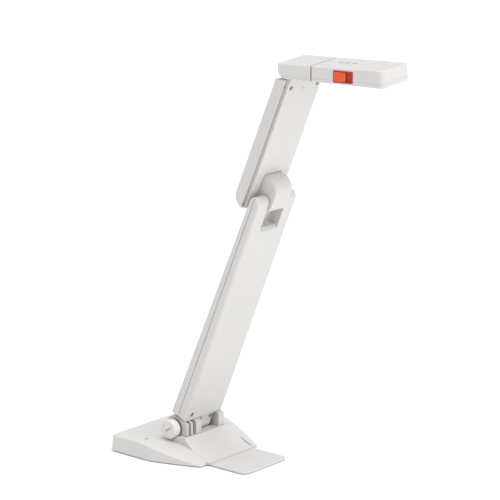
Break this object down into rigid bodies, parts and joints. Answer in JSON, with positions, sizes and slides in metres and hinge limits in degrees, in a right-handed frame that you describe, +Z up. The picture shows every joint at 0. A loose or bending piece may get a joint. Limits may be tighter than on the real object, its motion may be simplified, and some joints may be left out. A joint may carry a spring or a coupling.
{
  "type": "book scanner",
  "caption": "Folding desktop book scanner: weighted base with a front tongue, two white arms joined by a knee, and a flat camera head that swivels, tilts and rolls.",
  "frame": {"origin": "on the table, in the middle of the footprint of the base and its tongue", "axes": "+X forward, the way the head points over the page; +Y to the left of a person standing behind it; +Z up"},
  "size_m": [0.2686, 0.112, 0.3716],
  "materials": {
    "shell_white": "satin, fine moulded",
    "frame_grey": "matte",
    "button_white": "satin",
    "bare_steel": "brushed",
    "screw_steel": "plain",
    "tongue_paint": "satin paint",
    "cast_alloy": "cast",
    "foot_rubber": "matte",
    "washer_plastic": "matte",
    "orange_plastic": "satin",
    "board_green": "solder mask",
    "black_plastic": "matte",
    "lens_clear": "clear, coated",
    "diffuser": "milky"
  },
  "bodies": {
    "base": {"base_cover": "shell_white", "base_plate": "bare_steel", "base_screws": "screw_steel", "ballast_weight": "bare_steel", "front_tongue": "tongue_paint", "tongue_clamp": "bare_steel", "tongue_screws": "screw_steel", "rubber_feet": "foot_rubber", "hinge_bracket": "frame_grey", "bracket_posts": "bare_steel", "base_hinge_pin": "bare_steel", "hinge_cap": "shell_white", "hinge_spacers": "bare_steel", "hinge_washers": "washer_plastic", "usb_port": "bare_steel", "base_board": "board_green", "status_light": "diffuser"},
    "lower_arm": {"lower_rear_shell": "shell_white", "lower_front_shell": "shell_white", "foot_screws": "screw_steel", "lower_frame": "cast_alloy", "frame_screws": "screw_steel", "foot_knuckle": "shell_white", "knee_pin": "bare_steel", "knee_bushes": "washer_plastic", "knee_washers": "washer_plastic"},
    "upper_arm": {"upper_rear_shell": "shell_white", "upper_frame": "frame_grey", "upper_front_panel": "shell_white", "panel_screws": "screw_steel", "knee_knuckle": "shell_white", "upper_top_cap": "frame_grey"},
    "neck": {"neck_post": "bare_steel", "neck_clip": "bare_steel"},
    "head_mount": {"tilt_pin": "bare_steel", "head_mount_cover": "shell_white", "head_mount_base": "shell_white", "head_mount_block": "cast_alloy", "head_mount_screws": "screw_steel", "roll_spindle": "bare_steel"},
    "camera_head": {"camera_top_cover": "shell_white", "camera_bottom_cover": "shell_white", "camera_screws": "screw_steel", "spindle_collar": "cast_alloy", "switch_bezel": "orange_plastic", "control_board": "board_green", "lens_barrel": "black_plastic", "lens_glass": "lens_clear", "image_sensor": "black_plastic", "light_windows": "diffuser"},
    "switch": {"switch_knob": "orange_plastic"},
    "button_1": {"top_button_1": "button_white"},
    "button_2": {"top_button_2": "button_white"},
    "button_3": {"top_button_3": "button_white"}
  },
  "joints": [
    {"name": "base_tilt", "type": "hinge", "parent": "base", "child": "lower_arm", "pos_m": [-0.0174, 0, 0.0254], "axis": [0, 1, 0], "range_deg": [-111, 0]},
    {"name": "knee_fold", "type": "hinge", "parent": "lower_arm", "child": "upper_arm", "pos_m": [0.07598, 0, 0.2454], "axis": [0, 1, 0], "range_deg": [0, 140]},
    {"name": "head_swivel", "type": "hinge", "parent": "upper_arm", "child": "neck", "pos_m": [0.1053, 0, 0.3575], "axis": [0, 0, 1], "range_deg": [-52, 28]},
    {"name": "head_tilt", "type": "hinge", "parent": "neck", "child": "head_mount", "pos_m": [0.1053, 0, 0.3655], "axis": [-0.2079, 0.9781, 0], "range_deg": [-90, 0]},
    {"name": "camera_roll", "type": "hinge", "parent": "head_mount", "child": "camera_head", "pos_m": [0.12838, 0.00491, 0.36415], "axis": [0.9781, 0.2079, 0], "range_deg": [-90, 90]},
    {"name": "power_switch", "type": "slide", "parent": "camera_head", "child": "switch", "axis": [0.9781, 0.2079, 0], "range_m": [0, 0.0055]},
    {"name": "button_press_1", "type": "slide", "parent": "camera_head", "child": "button_1", "axis": [0, 0, 1], "range_m": [-0.0006, 0], "stiffness_N_per_m": 400, "springref_m": 0.0005},
    {"name": "button_press_2", "type": "slide", "parent": "camera_head", "child": "button_2", "axis": [0, 0, 1], "range_m": [-0.0006, 0], "stiffness_N_per_m": 400, "springref_m": 0.0005},
    {"name": "button_press_3", "type": "slide", "parent": "camera_head", "child": "button_3", "axis": [0, 0, 1], "range_m": [-0.0006, 0], "stiffness_N_per_m": 400, "springref_m": 0.0005}
  ]
}
